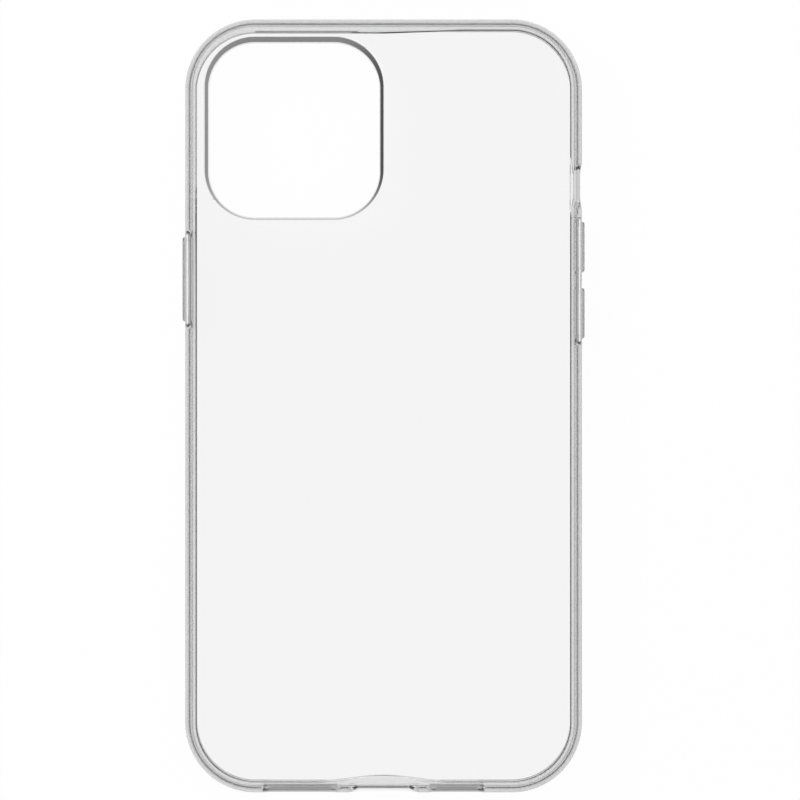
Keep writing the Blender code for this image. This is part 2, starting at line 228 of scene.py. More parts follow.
class OpeningSizes(PropertyGroup):
    """Sizes of the openings in the bottom wall and of the mute switch's scoop."""

    port_width: size("Port width", "Charging port opening along the wall", 0.0132)
    port_height: size("Port height", "Charging port opening from lip to back", 0.0066)
    port_radius: size("Port radius", "Corner radius of the port opening", 0.0024)
    left_slot: size("Left slot", "Length of the speaker slot left of the port", 0.01455)
    right_slot: size("Right slot", "Length of the speaker slot right of the port", 0.01055)
    slot_height: size("Slot height", "Height of the speaker slots", 0.0048)
    slot_radius: size("Slot radius", "Corner radius of the speaker slots", 0.0016)
    pillar: size("Pillar", "Wall between the port and a slot", 0.00265)
    mute_from_top: size("Mute from top", "Middle of the mute opening from the top edge", 0.0332)
    mute_length: size("Mute length", "Mute switch opening along the wall", 0.0075)
    mute_height: size("Mute height", "Mute switch opening from lip to back", 0.0050)
    mute_radius: size("Mute radius", "Corner radius of the mute opening", 0.0018)
    edge_along: size("Edge along", "Round of an opening's ends on the outer face", 0.0005)
    edge_depth: size("Edge depth", "Depth of the round on the outer face", 0.0005)
    port_edge_up: size("Port edge up", "Round of the port's long edges on the outer face", 0.0012)
    slot_edge_up: size("Slot edge up", "Round of the slots' long edges on the outer face", 0.0009)
    mute_edge_along: size("Mute edge along", "Round of the mute opening's ends", 0.0008)
    mute_edge_up: size("Mute edge up", "Scoop of the mute opening's long edges", 0.0021)
    mute_edge_depth: size("Mute edge depth", "Depth of the mute opening's scoop", 0.0009)
    cover_edge: size("Cover edge", "Round of the button openings' edges", 0.0003)
    inner_edge: size("Inner edge", "Round of an opening's edge in the pocket", 0.0004)


class CoverSizes(PropertyGroup):
    """Sizes of the button pads, their stems and the webs behind them."""

    pad_height: size("Pad height", "Pad from lip to back", PAD_HIGH.z - PAD_LOW.z)
    pad_radius: size("Pad radius", "Corner radius of a pad", 0.0010)
    pad_proud: size("Pad proud", "How far a pad stands out of the wall", PAD_HIGH.x - BUMPER_HIGH.x)
    pad_edge: size("Pad edge", "Round of a pad's outer edge", 0.00045)
    pad_crown: size("Pad crown", "How much a pad's face is domed", 0.00008)
    pad_under: size("Pad underside", "Inset of a pad's underside from the wall", 0.00025)
    stem_step: size("Stem step", "Pad round its stem", 0.0007)
    stem_radius: size("Stem radius", "Corner radius of a stem", 0.0005)
    stem_clearance: size("Stem clearance", "Gap between a stem and its web", 0.0002)
    margin: size("Cover margin", "Opening in the wall round the pads", 0.0007)
    radius: size("Cover radius", "Corner radius of the opening", 0.0014)
    web_outer: size("Web outer", "Inset of the web's outer face", 0.00085)
    web_inner: size("Web inner", "Inset of the web's inner face", 0.0013)
    web_seat: size("Web seat", "How far the web reaches past the opening", 0.0006)


class PlasticLooks(PropertyGroup):
    """Colour, polish and depth of shade of each clear plastic, and how dark the shade painted into the
    bumper's colour is in some places.
    """

    bumper_colour: colour("Bumper", "Tint of the soft bumper", WHITE)
    bumper_roughness: number("Bumper roughness", "Polish of the soft bumper", 0.06, 0.0, 1.0)
    bumper_shade: number("Bumper shade", "How fast the bumper takes up light", 78.0, 0.0, 1000.0)
    panel_colour: colour("Panel", "Tint of the hard panel", WHITE)
    panel_roughness: number("Panel roughness", "Polish of the hard panel", 0.02, 0.0, 1.0)
    panel_shade: number("Panel shade", "How fast the panel takes up light", 30.0, 0.0, 1000.0)
    rim_colour: colour("Camera rim", "Tint of the camera rim", WHITE)
    rim_roughness: number("Rim roughness", "Polish of the camera rim", 0.03, 0.0, 1.0)
    rim_shade: number("Rim shade", "How fast the rim takes up light", 78.0, 0.0, 1000.0)
    web_colour: colour("Button web", "Tint of the button webs", WHITE)
    web_roughness: number("Web roughness", "Polish of the button webs", 0.05, 0.0, 1.0)
    web_shade: number("Web shade", "How fast a web takes up light", 78.0, 0.0, 1000.0)
    pad_colour: colour("Button pad", "Tint of the button pads", WHITE)
    pad_roughness: number("Pad roughness", "Polish of the button pads", 0.06, 0.0, 1.0)
    pad_shade: number("Pad shade", "How fast a pad takes up light", 400.0, 0.0, 1000.0)
    # Painted shade: shares of black mixed into the bumper's colour over the speaker slots, along the mute
    # opening, along the seam over the camera window and in the outermost skin, and that skin's depth
    slot_painted_shade_in: number("Slot painted shade in", "Smoke over a speaker slot, at the panel", 0.25, 0.0, 1.0)
    slot_painted_shade_out: number("Slot painted shade out", "Smoke over a speaker slot, at the outer face", 0.66, 0.0, 1.0)
    mute_painted_shade: number("Mute painted shade", "Smoke along the outer edge of the mute opening", 0.35, 0.0, 1.0)
    seam_painted_shade: number("Seam painted shade", "Smoke of the seam over the camera window", 0.6, 0.0, 1.0)
    painted_skin_shade: number("Skin painted shade", "Smoke of the bumper's outermost skin", 0.6, 0.0, 1.0)
    skin_depth: size("Skin depth", "Depth of that skin", 0.00025)
    refraction: number("Refraction", "Index of refraction of the plastics", 1.5, 1.0, 2.0)


class StageLooks(PropertyGroup):
    """Floor, surroundings, lamp and camera."""

    floor_colour: colour("Floor", "Colour of the floor", (0.9, 0.9, 0.9))
    floor_glow: number("Floor glow", "Share of the floor that shows plain white", 0.97, 0.0, 1.0)
    floor_through: number("Floor through", "The same share, as seen through the plastic", 0.95, 0.0, 1.0)
    floor_mirror: number("Floor mirror", "The same share, as mirrored in the plastic", 0.4, 0.0, 1.0)
    floor_drop: size("Floor drop", "Floor below the lip", 0.0002)
    zenith: number("Zenith", "Surroundings overhead", 0.33)
    side_right: number("Right side", "Surroundings low on the right", 0.30)
    side_left: number("Left side", "Surroundings low on the left", 0.07)
    side_top: number("Top side", "Surroundings low past the top edge", 0.65)
    side_bottom: number("Bottom side", "Surroundings low past the bottom edge", 0.25)
    key_power: number("Key lamp", "Power of the large soft lamp in watts", 36.0, 0.0, 1000.0)
    camera_height: size("Camera height", "Camera above the lip", 2.0)
    picture_width: size(
        "Picture width", "Width that the picture takes in at mid height", PHOTO_SIDE / PIXELS_PER_METRE
    )
    aim_x: size("Aim across", "Point under the picture's middle, across the case", 0.00328)
    aim_y: size("Aim along", "Point under the picture's middle, along the case", 0.00117)


class CaseSettings(PropertyGroup):
    """Everything that a user can change on the case and its stage."""

    bumper: PointerProperty(type=BumperSizes)
    seam: PointerProperty(type=SeamSizes)
    window: PointerProperty(type=WindowSizes)
    openings: PointerProperty(type=OpeningSizes)
    covers: PointerProperty(type=CoverSizes)
    plastics: PointerProperty(type=PlasticLooks)
    stage: PointerProperty(type=StageLooks)


def runs_of(width, length, pitch):
    """How many parts the straight runs of an outline are split into, across and along."""
    return (max(1, round(width / pitch)), max(1, round(length / pitch)))


def outline_stations(width, length, radius, steps, runs, centre=(0.0, 0.0)):
    """Points round a rounded rectangle, anticlockwise from its lower right corner, with outward normals."""
    across = width / 2 - radius
    along = length / 2 - radius
    corners = ((across, -along), (across, along), (-across, along), (-across, -along))
    stations = []
    for quarter, (x, y) in enumerate(corners):
        x += centre[0]
        y += centre[1]
        for step in range(steps + 1):
            angle = (quarter - 1 + step / steps) * math.pi / 2
            normal = (math.cos(angle), math.sin(angle))
            stations.append(((x + radius * normal[0], y + radius * normal[1]), normal))
        (x, y), normal = stations[-1]
        run = 2 * (across if quarter % 2 else along)
        parts = runs[0] if quarter % 2 else runs[1]
        for part in range(1, parts):
            moved = run * part / parts
            stations.append(((x - normal[1] * moved, y + normal[0] * moved), normal))
    return stations


def moved_in(station, inset):
    """The point of a station, moved inwards."""
    (x, y), normal = station
    return (x - inset * normal[0], y - inset * normal[1])


def quarter_round(start, end, steps, fullness, flat_first):
    """Points after start up to end on a rounded quarter, at even turns of its normal."""
    across = abs(end[0] - start[0])
    up = abs(end[1] - start[1])
    lead, lag = (across, up) if flat_first else (up, across)
    points = []
    for step in range(1, steps + 1):
        early, late = 1.0, 1.0
        if step < steps:
            ratio = math.tan(step / steps * math.pi / 2) * lead / lag
            ratio = ratio ** (1 / (fullness - 1))
            rest = (1 + ratio**fullness) ** (-1 / fullness)
            early, late = ratio * rest, 1 - rest
        share_inset, share_height = (early, late) if flat_first else (late, early)
        inset = start[0] + (end[0] - start[0]) * share_inset
        points.append((inset, start[1] + (end[1] - start[1]) * share_height))
    return points


def eased(points, radius):
    """A path of straight runs with a small round on each corner between its ends."""
    path = [points[0]]
    for before, corner, after in zip(points, points[1:], points[2:]):
        corner = Vector(corner)
        back = (Vector(before) - corner).normalized()
        on = (Vector(after) - corner).normalized()
        half = back.angle(on) / 2
        centre = corner + (back + on).normalized() * radius / math.sin(half)
        first = (corner + back * radius / math.tan(half) - centre).normalized()
        last = (corner + on * radius / math.tan(half) - centre).normalized()
        for step in range(EASE_STEPS + 1):
            path.append(tuple(centre + first.slerp(last, step / EASE_STEPS) * radius))
    return path + [points[-1]]


class CaseShape:
    """Sections and places of the case's pieces, worked out from the sizes that a user sets."""

    def __init__(self, case):
        bumper, seam, window = case.bumper, case.seam, case.window
        self.case = case
        self.back = bumper.height
        self.floor = self.back - seam.rim - seam.tongue - seam.ledge - 2 * seam.gap
        self.middle = self.back / 2
        self.pocket_middle = (bumper.lip_thickness + self.floor) / 2
        self.groove_low = self.floor + seam.ledge
        self.groove_high = self.back - seam.rim
        self.lip_inset = bumper.wall + bumper.lip_overhang
        self.lip_round = self.lip_inset - bumper.lip_edge - bumper.lip_flat
        rim_edge = bumper.back_round + bumper.rim_flat + seam.slope
        ledge_edge = bumper.wall + bumper.pocket_round + bumper.ledge_flat
        self.seam_inset = max(rim_edge, ledge_edge)
        self.groove_inset = seam.cover + self.outer_inset(self.groove_high)
        self.seat_gap = seam.gap * math.hypot(1.0, window.seat_slope) / window.seat_slope

    def outer_inset(self, height):
        """Inset of the wall's outer face at a height."""
        bumper = self.case.bumper
        over = height > self.middle
        reach = bumper.back_round if over else self.lip_round
        return draw_in(height, self.middle, self.back if over else 0.0, reach, bumper.outer_fullness)

    def inner_inset(self, height):
        """Inset of the wall's face in the pocket at a height."""
        bumper = self.case.bumper
        over = height > self.pocket_middle
        end = self.floor if over else bumper.lip_thickness
        reach = bumper.pocket_round if over else bumper.lip_overhang
        drawn = draw_in(height, self.pocket_middle, end, reach, bumper.pocket_fullness)
        return bumper.wall + drawn

    def case_stations(self):
        """The outline of the case where it is widest."""
        bumper = self.case.bumper
        runs = runs_of(bumper.width, bumper.length, STATION_PITCH)
        return outline_stations(bumper.width, bumper.length, bumper.corner, CORNER_STEPS, runs)

    def window_stations(self):
        """The rounded edge of the camera window in the back face, round the rim that the frame has there."""
        middle = (RIM_LOW + RIM_HIGH) / 2
        width = RIM_HIGH.x - RIM_LOW.x + 2 * self.seat_gap
        length = RIM_HIGH.y - RIM_LOW.y + 2 * self.seat_gap
        runs = runs_of(width, length, STATION_PITCH)
        radius = self.case.window.radius
        return outline_stations(width, length, radius, CORNER_STEPS, runs, (middle.x, middle.y))

    def apron_at(self, station):
        """Share of the apron's rise over the port."""
        width = self.case.seam.apron_width
        x, y = station[0]
        if y > 0 or abs(x) > width / 2:
            return 0.0
        return (1 + math.cos(2 * math.pi * x / width)) / 2

    def scoop_at(self, station):
        """Share of the scoop beside the mute opening, where wall and seam draw in less."""
        x, y = station[0]
        mute = self.case.bumper.length / 2 - self.case.openings.mute_from_top
        off = abs(y - mute) / self.case.seam.scoop_length * 2
        if x < 0 or off > 1:
            return 0.0
        return min(1.0, 1 + math.cos(math.pi * off))

    def seam_at(self, station):
        """Inset of the panel's seam; the apron and the window push it inwards and the scoop outwards."""
        seam = self.case.seam
        moved = seam.window_reach * self.window_at(station) * self.end_at(station, 1)
        moved += seam.apron_rise * self.apron_at(station) - seam.scoop_reach * self.scoop_at(station)
        return self.seam_inset + moved

    def end_at(self, station, sign):
        """Share of the top edge, for a sign of 1, or of the bottom edge, growing round the corners."""
        bumper = self.case.bumper
        return max(0.0, 1 + (sign * station[0][1] - bumper.length / 2) / bumper.corner)

    def window_at(self, station):
        """Share of the seam's stretch round the camera window."""
        x, y = station[0]
        past = max(x - RIM_HIGH.x, RIM_LOW.y - y, 0.0)
        return max(0.0, 1 - past / WINDOW_FADE)

    def slope_at(self, station):
        """How far the seam leans; less on the bottom and the scoop, more round the camera window."""
        lean = self.window_at(station) * WINDOW_LEAN
        lean -= max(self.end_at(station, -1) * BOTTOM_STEEP, self.scoop_at(station) * SCOOP_STEEP)
        return self.case.seam.slope * (1 + lean)

    def bumper_section(self, station):
        """Inset and height of each corner of the bumper, round its section from the lip."""
        bumper = self.case.bumper
        seam = self.seam_at(station)
        scoop = self.case.seam.scoop_reach * self.scoop_at(station)
        widest = (0.0, self.middle)
        shoulder = (bumper.back_round - scoop, self.back)
        pocket_foot = (bumper.wall + bumper.pocket_round - scoop, self.floor)
        pocket_wall = (bumper.wall, self.pocket_middle)
        lip_top = (self.lip_inset, bumper.lip_thickness)
        lip_edge = (self.lip_inset, bumper.lip_edge)
        lip_flat = (self.lip_inset - bumper.lip_edge, 0.0)
        groove = [(seam - self.slope_at(station), self.back), (seam, self.groove_high)]
        groove += [(self.groove_inset, self.groove_high), (self.groove_inset, self.groove_low)]
        groove += [(seam, self.groove_low), (seam, self.floor)]
        full = bumper.outer_fullness
        points = [(self.lip_round, 0.0)]
        points += quarter_round(points[-1], widest, ROUND_STEPS, full, True)
        points += quarter_round(widest, shoulder, ROUND_STEPS, full, False)
        points += eased([shoulder, *groove, pocket_foot], bumper.ease)[1:]
        full = bumper.pocket_fullness
        points += quarter_round(pocket_foot, pocket_wall, ROUND_STEPS, full, True)
        points += quarter_round(pocket_wall, lip_top, ROUND_STEPS, full, False)
        points += [lip_edge]
        points += quarter_round(lip_edge, lip_flat, EDGE_STEPS, ELLIPSE, False)
        return points

    def panel_edge(self, station):
        """Inset and height of each corner of the panel's tongued edge, from the back down."""
        gap = self.case.seam.gap
        body = self.seam_at(station) + gap
        tongue = self.groove_inset + gap
        high = self.groove_high - gap
        low = self.groove_low + gap
        inside = body + 2 * self.case.bumper.ease
        points = [(inside, self.back), (body - self.slope_at(station), self.back), (body, high)]
        points += [(tongue, high), (tongue, low), (body, low)]
        points += [(body, self.floor), (inside, self.floor)]
        return eased(points, self.case.bumper.ease)

    def seat_at(self, station):
        """Width of the window's seat; it is wider along the top of the window than along the bottom."""
        window = self.case.window
        return window.seat_width + window.seat_lean * station[1][1]

    def window_edge(self, station):
        """Inset into the window and height of each corner of its edge in the panel, from the back down."""
        width = self.seat_at(station)
        seat = self.back - width * self.case.window.seat_slope
        outside = -2 * self.case.bumper.ease
        points = [(outside, self.back), (0.0, self.back), (width, seat)]
        points += [(width, self.floor), (width + outside, self.floor)]
        return eased(points, self.case.bumper.ease)

    def camera_rim_section(self, station):
        """Inset into the window and height of each corner of the camera rim, from its foot."""
        window = self.case.window
        seat = self.seat_at(station) + self.case.seam.gap
        inner = seat + window.rim_wall
        top = RIM_HIGH.z
        rounded = window.rim_round
        seat_foot = self.back - (seat - self.seat_gap) * window.seat_slope
        points = [(seat, self.floor), (seat, seat_foot)]
        points += [(self.seat_gap, self.back), (self.seat_gap, top - rounded)]
        crown = (self.seat_gap + rounded, top)
        points += quarter_round(points[-1], crown, EDGE_STEPS, ELLIPSE, False)
        points += [(crown[0] + FLAT_HOLD, top), (inner - rounded - FLAT_HOLD, top)]
        points += [(inner - rounded, top)]
        points += quarter_round(points[-1], (inner, top - rounded), EDGE_STEPS, ELLIPSE, True)
        points += [(inner, top - rounded - FLAT_HOLD), (inner, self.floor)]
        return points

    def on_wall(self, wall, along):
        """Places a shape drawn along, up and out of a wall, level with the middle of the phone's side."""
        bumper = self.case.bumper
        across, up, out = (Vector(direction) for direction in wall)
        if wall is BOTTOM:
            place = Vector((along, -bumper.length / 2, self.pocket_middle))
        else:
            place = Vector((out.x * bumper.width / 2, along, self.pocket_middle))
        turn = Matrix((across, up, out)).transposed()
        return Matrix.Translation(place) @ turn.to_4x4()


def draw_in(height, middle, end, reach, fullness):
    """How far a rounded wall has drawn in at a height between its middle and its end."""
    share = min(1.0, abs((height - middle) / (end - middle)))
    return reach * (1 - (1 - share**fullness) ** (1 / fullness))


def loft(bm, stations, section_at, closed):
    """Carry a section round the stations, and give its corners at each of them."""
    rings = []
    for station in stations:
        placed = [(*moved_in(station, inset), height) for inset, height in section_at(station)]
        rings.append([bm.verts.new(point) for point in placed])
    first = 0 if closed else 1
    for ring, following in zip(rings, rings[1:] + rings[:1]):
        for corner in range(first, len(ring)):
            before = corner - 1
            bm.faces.new((ring[before], ring[corner], following[corner], following[before]))
    return rings


def loop_edges(bm, rings, corner):
    """The edges that join one corner of the section all round the stations."""
    loop = [ring[corner] for ring in rings]
    return [bm.edges.get(pair) for pair in zip(loop, loop[1:] + loop[:1])]


def filled_sheet(border, border_section, holes, hole_section):
    """A flat sheet between the section of its border and those of its holes."""
    bm = bmesh.new()
    bands = [loft(bm, border, border_section, closed=False)]
    bands += [loft(bm, hole, hole_section, closed=False) for hole in holes]
    for face in (0, -1):
        edges = []
        for band in bands:
            edges += loop_edges(bm, band, face)
        bmesh.ops.triangle_fill(bm, edges=edges, use_beauty=True)
    return bm


def spool(rings):
    """A closed solid through a stack of rings that have the same count of points."""
    bm = bmesh.new()
    placed = [[bm.verts.new(point) for point in ring] for ring in rings]
    for ring, following in zip(placed, placed[1:]):
        for corner, vert in enumerate(ring):
            bm.faces.new((ring[corner - 1], vert, following[corner], following[corner - 1]))
    bm.faces.new(placed[0])
    bm.faces.new(placed[-1])
    return bm


def smoothed(mesh):
    """Round faces smooth, moulded edges sharp."""
    mesh.shade_smooth()
    mesh.set_sharp_from_angle(angle=SHARP_ANGLE)


def finished(name, bm, place=None):
    """An object of a closed mesh, with its faces turned outwards."""
    if place is not None:
        bmesh.ops.transform(bm, matrix=place, verts=bm.verts)
    bmesh.ops.recalc_face_normals(bm, faces=bm.faces)
    mesh = bpy.data.meshes.new(name)
    bm.to_mesh(mesh)
    bm.free()
    smoothed(mesh)
    obj = bpy.data.objects.new(name, mesh)
    bpy.context.scene.collection.objects.link(obj)
    return obj


def cut_out(obj, cutters):
    """Take the cutters' shapes out of an object, for good."""
    for cutter in cutters:
        modifier = obj.modifiers.new(cutter.name, "BOOLEAN")
        modifier.operation = "DIFFERENCE"
        modifier.solver = "EXACT"
        modifier.object = cutter
    seen = obj.evaluated_get(bpy.context.evaluated_depsgraph_get())
    mesh = bpy.data.meshes.new_from_object(seen)
    obj.modifiers.clear()
    whole = obj.data
    obj.data = mesh
    bpy.data.meshes.remove(whole)
    mesh.name = obj.name
    smoothed(mesh)
    for cutter in cutters:
        bpy.data.objects.remove(cutter)


def wall_outline(length, height, radius, runs, inset_at):
    """A rounded outline in a wall, at the inset that its height gives."""
    ring = []
    for (along, up), normal in outline_stations(length, height, radius, SMALL_CORNER_STEPS, runs):
        ring.append((along, up, -inset_at(up)))
    return ring


def round_marks(overshoot):
    """How far a round has grown and how deep it still is, as shares, from its foot to past its end."""
    turns = [step / EDGE_STEPS * ROUND_END for step in range(EDGE_STEPS + 1)]
    marks = [(1 - math.cos(turn), 1 - math.sin(turn)) for turn in turns]
    past = (marks[-1][1] + overshoot) / math.cos(ROUND_END)
    return marks + [(marks[-1][0] + past * math.sin(ROUND_END), -overshoot)]


def edge_rings(shape, outline, edge, face, outward):
    """Rings of the round on an opening's edge, from its bore to just past the wall's face."""
    length, height, radius, runs = outline
    along, up, depth = edge
    marks = round_marks(ROUND_OVERSHOOT / depth)
    rings = []
    for grown, sunk in marks:
        sized = (length + 2 * along * grown, height + 2 * up * grown, radius + along * grown, runs)

        def inset_at(rise, sunk=sunk):
            return face(min(max(rise + shape.pocket_middle, 0.0), shape.back)) + outward * depth * sunk

        rings.append(wall_outline(*sized, inset_at))
    return rings, sized


def opening_cutter(shape, name, wall, along, outline, outer_edge, inner_edge=None):
    """A cutter for an opening in a wall; an edge is how far its round goes along, up and deep."""
    outline = (*outline, runs_of(outline[0], outline[1], OPENING_PITCH))
    outside, wide = edge_rings(shape, outline, outer_edge, shape.outer_inset, 1)
    rings = [wall_outline(*wide, lambda rise: -CUT_OUTSIDE)]
    rings += reversed(outside)
    sized = outline
    if inner_edge:
        inside, sized = edge_rings(shape, outline, inner_edge, shape.inner_inset, -1)
        rings += inside
    rings.append(wall_outline(*sized, lambda rise: CUT_INSIDE))
    return finished(name, spool(rings), shape.on_wall(wall, along))


def seat_cutter(shape, name, wall, along, outline, outer):
    """A cutter for the plain seat of a button web, from an inset of the wall to the pocket."""
    runs = runs_of(outline[0], outline[1], OPENING_PITCH)
    rings = []
    for inset in (outer, CUT_INSIDE):
        rings.append(wall_outline(*outline, runs, lambda rise: inset))
    return finished(name, spool(rings), shape.on_wall(wall, along))


def pads_of(nodes):
    """Middle along Y and length that take in some pads of the frame."""
    boxes = [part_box(node) for node in nodes]
    low = min(box[0].y for box in boxes)
    high = max(box[1].y for box in boxes)
    return (low + high) / 2, high - low


def slots_of(sizes):
    """Middle along X and length of each speaker slot."""
    slots = {}
    for name, sign, length in (("left", -1, sizes.left_slot), ("right", 1, sizes.right_slot)):
        slots[name] = (sign * (sizes.port_width / 2 + sizes.pillar + length / 2), length)
    return slots


def set_inputs(tree, node, values):
    """Set a node's inputs, by name or number, to plain values, or link them to sockets."""
    for key, value in values.items():
        if isinstance(value, bpy.types.NodeSocket):
            tree.links.new(value, node.inputs[key])
        else:
            node.inputs[key].default_value = value


def add_node(tree, kind, values):
    """A new node with its inputs set or linked."""
    node = tree.nodes.new(kind)
    set_inputs(tree, node, values)
    return node


def math_node(tree, operation, *values):
    """The result of one sum on sockets or plain numbers."""
    node = add_node(tree, "ShaderNodeMath", dict(enumerate(values)))
    node.operation = operation
    return node.outputs[0]


def show_mixed(tree, share, first, second):
    """Show the first shader on a material's surface, and the second by its share."""
    values = {0: share, 1: first.outputs[0], 2: second.outputs[0]}
    mix = add_node(tree, "ShaderNodeMixShader", values)
    set_inputs(tree, tree.nodes["Material Output"], {"Surface": mix.outputs[0]})


def moulded_surface():
    """Node group of a moulded surface: its patchy polish, and the height of its slight ripples and grain."""
    group = bpy.data.node_groups.get("moulded surface")
    if group:
        return group
    group = bpy.data.node_groups.new("moulded surface", "ShaderNodeTree")
    for name, default in MOULDED_INPUTS.items():
        socket = group.interface.new_socket(name=name, in_out="INPUT", socket_type="NodeSocketFloat")
        socket.default_value = default
    for name in ("Roughness", "Height"):
        group.interface.new_socket(name=name, in_out="OUTPUT", socket_type="NodeSocketFloat")
    entry = group.nodes.new("NodeGroupInput")
    leave = group.nodes.new("NodeGroupOutput")
    place = group.nodes.new("ShaderNodeTexCoord")
    noises = []
    for name in ("Ripple Scale", "Grain Scale"):
        values = {"Detail": NOISE_DETAIL, "Vector": place.outputs["Object"], "Scale": entry.outputs[name]}
        noises.append(add_node(group, "ShaderNodeTexNoise", values).outputs[0])
    ripple, grain = noises
    swings = [math_node(group, "SUBTRACT", noise, NOISE_MIDDLE) for noise in noises]
    patch = math_node(group, "MULTIPLY", math_node(group, "ADD", *swings), entry.outputs["Patchiness"])
    polish = math_node(group, "MULTIPLY", entry.outputs["Polish"], math_node(group, "ADD", patch, 1.0))
    fine = math_node(group, "MULTIPLY", grain, entry.outputs["Grain Share"])
    set_inputs(group, leave, {"Roughness": polish, "Height": math_node(group, "ADD", ripple, fine)})
    return group


def clear_plastic(case, slot, finish, ripple_scale, grain_share, bump):
    """See-through plastic: a refracting surface with a moulded finish, and a body that takes up light."""
    looks = case.plastics
    material = bpy.data.materials.new(f"{slot}_finish")
    material.use_nodes = True
    tree = material.node_tree
    base_colour, polish, shade = (getattr(looks, f"{finish}_{kind}") for kind in ("colour", "roughness", "shade"))
    surface = tree.nodes.new("ShaderNodeGroup")
    surface.node_tree = moulded_surface()
    values = {"Polish": polish, "Ripple Scale": ripple_scale, "Grain Share": grain_share}
    set_inputs(tree, surface, values)
    values = {"Strength": 1.0, "Distance": bump, "Height": surface.outputs["Height"]}
    relief = add_node(tree, "ShaderNodeBump", values)
    shader = tree.nodes["Principled BSDF"]
    values = {
        "Base Color": (*base_colour, 1.0),
        "Metallic": 0.0,
        "Roughness": surface.outputs["Roughness"],
        "IOR": looks.refraction,
        "Transmission Weight": 1.0,
        "Normal": relief.outputs["Normal"],
    }
    set_inputs(tree, shader, values)
    path = tree.nodes.new("ShaderNodeLightPath")
    clear = add_node(tree, "ShaderNodeBsdfTransparent", {"Color": (*SHADOW_GREY, 1.0)})
    show_mixed(tree, path.outputs["Is Shadow Ray"], shader, clear)
    values = {"Color": (*BODY_GREY, 1.0), "Density": shade}
    body = add_node(tree, "ShaderNodeVolumeAbsorption", values)
    set_inputs(tree, tree.nodes["Material Output"], {"Volume": body.outputs[0]})
    return material


def painted_shade_boxes(case):
    """Where shade is painted into the bumper's wall, at places the photograph shows dark: ranges along X and
    Y, and how dark.
    """
    sizes, bumper, plastics = case.openings, case.bumper, case.plastics
    side, bottom = bumper.width / 2, -bumper.length / 2
    start, middle = (bottom + bumper.back_round * share for share in PAINTED_SHADE_DEPTHS)
    boxes = []
    # Painted shade over each speaker slot, lighter towards the panel and darker towards the outer face
    for along, length in slots_of(sizes).values():
        ends = (along - length / 2, along + length / 2)
        boxes.append((ends, (middle, start), plastics.slot_painted_shade_in))
        boxes.append((ends, (bottom, middle), plastics.slot_painted_shade_out))
    # A painted dark strip along the mute opening's outer edge
    mute, half = -bottom - sizes.mute_from_top, sizes.mute_length / 2
    strip = (side - bumper.back_round * PAINTED_SHADE_DEPTHS[1], side)
    boxes.append((strip, (mute - half, mute + half), plastics.mute_painted_shade))
    # A painted dark line along the seam over the camera window
    seam_line = CaseShape(case).seam_inset + case.seam.window_reach
    over_window = (-bottom - seam_line, -bottom - seam_line + SEAM_SHADE_LINE)
    ends = (bumper.corner - side, RIM_HIGH.x - case.window.radius / 2)
    boxes.append((ends, over_window, plastics.seam_painted_shade))
    return boxes


def painted_skin_shade(case, tree, place):
    """Painted shade in the bumper's outermost skin towards the back, which draws the outline darker."""
    bumper = case.bumper
    squares = []
    for axis, extent in (("X", bumper.width), ("Y", bumper.length)):
        off = math_node(tree, "ABSOLUTE", place.outputs[axis])
        off = math_node(tree, "SUBTRACT", off, extent / 2 - bumper.corner)
        off = math_node(tree, "MAXIMUM", off, 0.0)
        squares.append(math_node(tree, "MULTIPLY", off, off))
    reach = math_node(tree, "SQRT", math_node(tree, "ADD", *squares))
    # Painted shade only in the outermost skin, growing from mid height towards the back
    skin = math_node(tree, "GREATER_THAN", reach, bumper.corner - case.plastics.skin_depth)
    values = {"Value": place.outputs["Z"], "From Min": bumper.height / 2, "From Max": PAINTED_SHADE_HEIGHT}
    rise = add_node(tree, "ShaderNodeMapRange", {**values, "To Max": case.plastics.painted_skin_shade})
    rise.interpolation_type = "SMOOTHSTEP"
    return math_node(tree, "MULTIPLY", skin, rise.outputs["Result"])


def paint_wall_shade(case, material):
    """Paint shade into the bumper's colour, darkening it towards black in its outer skin and in the painted
    shade boxes.
    """
    tree = material.node_tree
    place = tree.nodes.new("ShaderNodeTexCoord")
    parts = add_node(tree, "ShaderNodeSeparateXYZ", {0: place.outputs["Object"]})
    # Painted shade of the skin, then of each painted box above the painted shade's height
    painted_shade = painted_skin_shade(case, tree, parts)
    over = math_node(tree, "GREATER_THAN", parts.outputs["Z"], PAINTED_SHADE_HEIGHT)
    for across, along, share in painted_shade_boxes(case):
        masks = []
        for axis, (low, high) in (("X", across), ("Y", along)):
            values = (parts.outputs[axis], (low + high) / 2, (high - low) / 2)
            masks.append(math_node(tree, "COMPARE", *values))
        mask = math_node(tree, "MULTIPLY", *masks)
        mask = math_node(tree, "MULTIPLY", mask, over)
        painted_shade = math_node(tree, "MAXIMUM", painted_shade, math_node(tree, "MULTIPLY", mask, share))
    # The bumper's colour, darkened towards black by the painted shade
    base_colour = tree.nodes.new("ShaderNodeMix")
    base_colour.data_type = "RGBA"
    tree.links.new(painted_shade, base_colour.inputs["Factor"])
    colours = [socket for socket in base_colour.inputs if socket.type == "RGBA"]
    colours[0].default_value = (*case.plastics.bumper_colour, 1.0)
    colours[1].default_value = (*BLACK, 1.0)
    mixed = next(socket for socket in base_colour.outputs if socket.type == "RGBA")
    tree.links.new(mixed, tree.nodes["Principled BSDF"].inputs["Base Color"])


def material_of(case, slot):
    """The finish of a slot of the record, made once."""
    made = bpy.data.materials.get(f"{slot}_finish")
    if made:
        return made
    material = clear_plastic(case, slot, *FINISHES[slot])
    if slot == "clear_soft_bumper":
        paint_wall_shade(case, material)
    return material


def dress(obj, node, case):
    """Put a piece in the place of the frame's node, on the node's body and with its finish."""
    record = frame["record"]
    slots = {part["node"]: part["material_slot"] for part in record["subparts"]}
    bodies = record["behaviour"]["bodies"]
    body = next(name for name, nodes in bodies.items() if node in nodes)
    obj.data.materials.clear()
    obj.data.materials.append(material_of(case, slots[node]))
    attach(obj, body)
    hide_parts(node)


